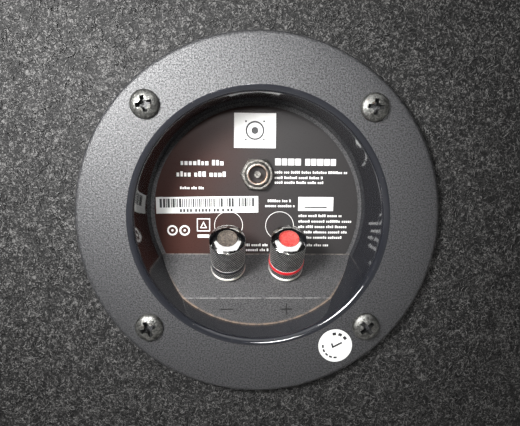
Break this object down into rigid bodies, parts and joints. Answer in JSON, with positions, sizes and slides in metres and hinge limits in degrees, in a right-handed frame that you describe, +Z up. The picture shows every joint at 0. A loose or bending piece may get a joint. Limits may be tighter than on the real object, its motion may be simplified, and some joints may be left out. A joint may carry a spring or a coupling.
{
  "type": "car subwoofer speaker",
  "caption": "Carpeted MDF bandpass car subwoofer with a clear window, ports and a recessed terminal cup with screw posts and a lighting jack.",
  "frame": {"origin": "centre of the face that the box stands on, on the floor", "axes": "+Z up, +X along the longest side, -Y out of the rear panel that carries the terminal cup, +Y out of the window and ports"},
  "size_m": [0.536, 0.4106, 0.38],
  "materials": {
    "carpet": "charcoal needled carpet",
    "mdf": "raw MDF",
    "acrylic": "clear cast acrylic",
    "foam": "closed-cell foam tape",
    "screw_steel": "worn zinc-plated steel",
    "black_screw": "black oxide steel",
    "port_plastic": "fine-textured black ABS",
    "led_board": "white circuit board with LED packages",
    "cable": "black PVC sleeve",
    "cup_abs": "spark-textured grey-black ABS with a polished mouth",
    "label": "printed self-adhesive film",
    "sticker": "white paper label",
    "nickel": "worn nickel plate",
    "cap_nickel": "black-nickel plate, knurled sides and a polished top",
    "washer_nickel": "bright nickel plate",
    "insulator": "moulded nylon",
    "tin_brass": "tinned brass",
    "band_black": "black ring",
    "band_red": "red ring",
    "plug_black": "dusty black plug",
    "plug_red": "red plug",
    "wire_black": "black PVC",
    "wire_red": "red PVC",
    "basket_paint": "black powder coat",
    "rubber_trim": "moulded rubber",
    "foam_surround": "butyl rubber",
    "cone_poly": "injection-moulded polypropylene",
    "spider_cloth": "resin-dipped cotton",
    "former": "polyimide film",
    "copper": "enamelled copper wire",
    "motor_steel": "zinc-plated low-carbon steel",
    "ferrite": "ground ferrite",
    "phenolic": "phenolic board",
    "tinsel": "braided tinsel lead"
  },
  "bodies": {
    "root": {"panel_top": "mdf", "panel_bottom": "mdf", "panel_left": "mdf", "panel_right": "mdf", "rear_panel": "mdf", "front_baffle": "mdf", "divider": "mdf", "carpet_top": "carpet", "carpet_bottom": "carpet", "carpet_left": "carpet", "carpet_right": "carpet", "carpet_rear": "carpet", "carpet_front": "carpet", "window_panel": "acrylic", "window_gasket": "foam", "window_screws": "black_screw", "port_left": "port_plastic", "port_right": "port_plastic", "port_screws": "black_screw", "led_strips": "led_board", "led_cable": "cable", "terminal_cup": "cup_abs", "cup_gasket": "foam", "cup_screws": "screw_steel", "spec_label": "label", "serial_label": "sticker", "inspection_sticker": "sticker", "jack_barrel": "nickel", "jack_nut": "nickel", "jack_pin": "nickel", "jack_tags": "tin_brass", "post_studs": "nickel", "post_insulators": "insulator", "post_nuts": "nickel", "solder_lugs": "tin_brass", "speaker_wire_neg": "wire_black", "speaker_wire_pos": "wire_red", "basket": "basket_paint", "trim_gasket": "rubber_trim", "surround": "foam_surround", "spider": "spider_cloth", "top_plate": "motor_steel", "magnet": "ferrite", "yoke": "motor_steel", "driver_terminals": "phenolic", "tinsel_leads": "tinsel", "driver_screws": "black_screw"},
    "neg_washer": {"neg_clamp_washer": "washer_nickel"},
    "neg_cap_body": {"neg_cap": "cap_nickel", "neg_band": "band_black", "neg_plug": "plug_black"},
    "pos_washer": {"pos_clamp_washer": "washer_nickel"},
    "pos_cap_body": {"pos_cap": "cap_nickel", "pos_band": "band_red", "pos_plug": "plug_red"},
    "cone_body": {"cone": "cone_poly", "dust_cap": "cone_poly", "coil_former": "former", "voice_coil": "copper"}
  },
  "joints": [
    {"name": "neg_cap_lift", "type": "slide", "parent": "root", "child": "neg_washer", "axis": [0, -0.682, 0.7314], "range_m": [0, 0.005]},
    {"name": "neg_cap_turn", "type": "hinge", "parent": "neg_washer", "child": "neg_cap_body", "pos_m": [0.1405, -0.1841, 0.17078], "axis": [0, -0.682, 0.7314], "range_deg": [0, 1800]},
    {"name": "pos_cap_lift", "type": "slide", "parent": "root", "child": "pos_washer", "axis": [0, -0.682, 0.7314], "range_m": [0, 0.005]},
    {"name": "pos_cap_turn", "type": "hinge", "parent": "pos_washer", "child": "pos_cap_body", "pos_m": [0.1595, -0.1841, 0.17078], "axis": [0, -0.682, 0.7314], "range_deg": [0, 1800]},
    {"name": "cone_travel", "type": "slide", "parent": "root", "child": "cone_body", "axis": [0, 1, 0], "range_m": [-0.01, 0.01], "stiffness_N_per_m": 6500, "deforming": ["surround", "spider", "tinsel_leads"]}
  ],
  "couplings": [
    {"joint": "neg_cap_turn", "follows": "neg_cap_lift", "rad_per_m": 6283.2},
    {"joint": "pos_cap_turn", "follows": "pos_cap_lift", "rad_per_m": 6283.2}
  ]
}
